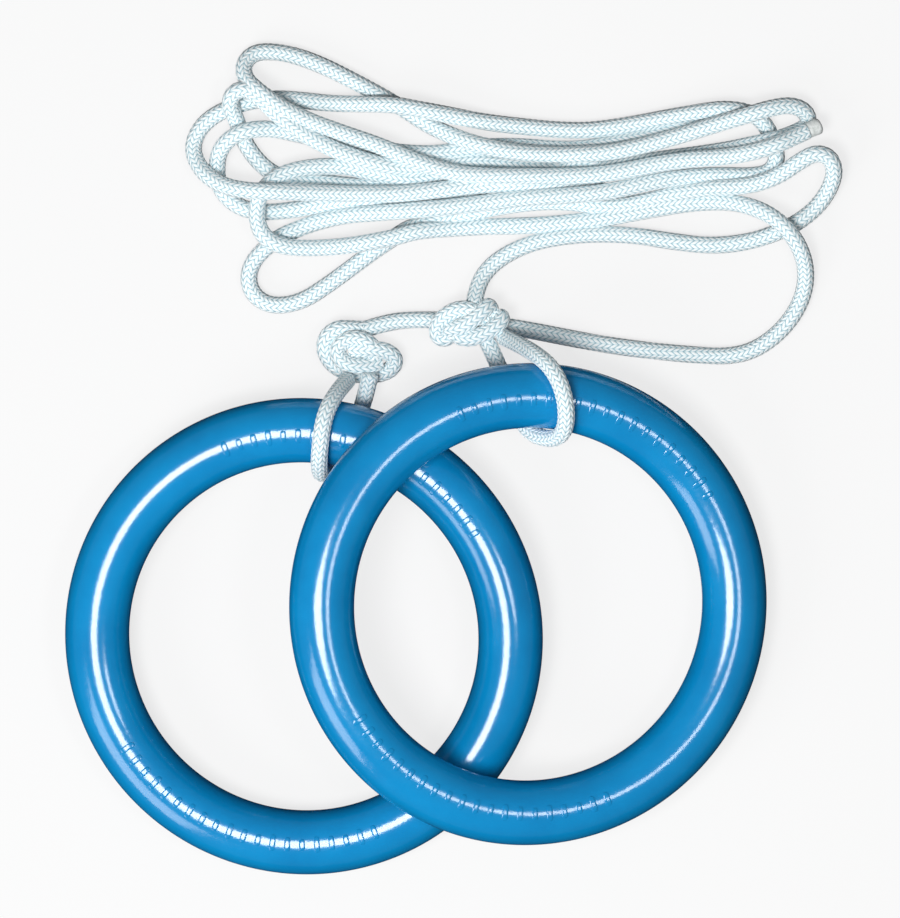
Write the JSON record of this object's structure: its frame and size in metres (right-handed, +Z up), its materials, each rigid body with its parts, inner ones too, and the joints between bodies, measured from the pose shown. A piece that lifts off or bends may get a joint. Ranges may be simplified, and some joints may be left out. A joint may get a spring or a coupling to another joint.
{
  "type": "gymnastics rings",
  "caption": "Pair of moulded round grip rings, one resting on the other, each tied into a braided rope loop, with the long free ropes gathered in a loose hank.",
  "frame": {"origin": "on the floor, under the middle of the two rings' common box", "axes": "+Z up from the floor; +X from the left ring to the right ring; +Y from the rings to the hank of rope"},
  "size_m": [0.3801, 0.4088, 0.0802],
  "materials": {
    "ring_plastic": "glossy moulded plastic, mid blue",
    "rope_braid": "braided synthetic rope, white with pale shadows between its strands",
    "melted_end": "heat-sealed rope fibres, dull off-white"
  },
  "bodies": {
    "ropes": {"rope_hank": "rope_braid", "left_rope_lead": "rope_braid", "right_rope_lead": "rope_braid", "left_knot": "rope_braid", "right_knot": "rope_braid", "left_rope_tip": "melted_end", "right_rope_tip": "melted_end"},
    "left_loop": {"left_loop": "rope_braid"},
    "right_loop": {"right_loop": "rope_braid"},
    "left_ring": {"left_ring_lower_shell": "ring_plastic", "left_ring_upper_shell": "ring_plastic"},
    "right_ring": {"right_ring_lower_shell": "ring_plastic", "right_ring_upper_shell": "ring_plastic"}
  },
  "joints": [
    {"name": "right_loop_swing", "type": "hinge", "parent": "ropes", "child": "right_loop", "pos_m": [0.0417, 0.1387, 0.014], "axis": [-0.9624, -0.2717, 0], "range_deg": [0, 90], "deforming": ["right_loop"]},
    {"name": "left_loop_swing", "type": "hinge", "parent": "ropes", "child": "left_loop", "pos_m": [-0.0334, 0.1175, 0.014], "axis": [-0.9624, -0.2717, 0], "range_deg": [0, 90], "deforming": ["left_loop"]},
    {"name": "right_ring_spin", "type": "hinge", "parent": "right_loop", "child": "right_ring", "pos_m": [0.0574, 0.0104, 0.04009], "axis": [0.2392, -0.0013, 0.971], "continuous": true},
    {"name": "left_ring_spin", "type": "hinge", "parent": "left_loop", "child": "left_ring", "pos_m": [-0.0546, -0.008, 0.0202], "axis": [-0.0076, -0.0431, 0.999], "continuous": true}
  ],
  "couplings": [
    {"joint": "left_loop_swing", "follows": "right_loop_swing", "ratio": 1}
  ]
}
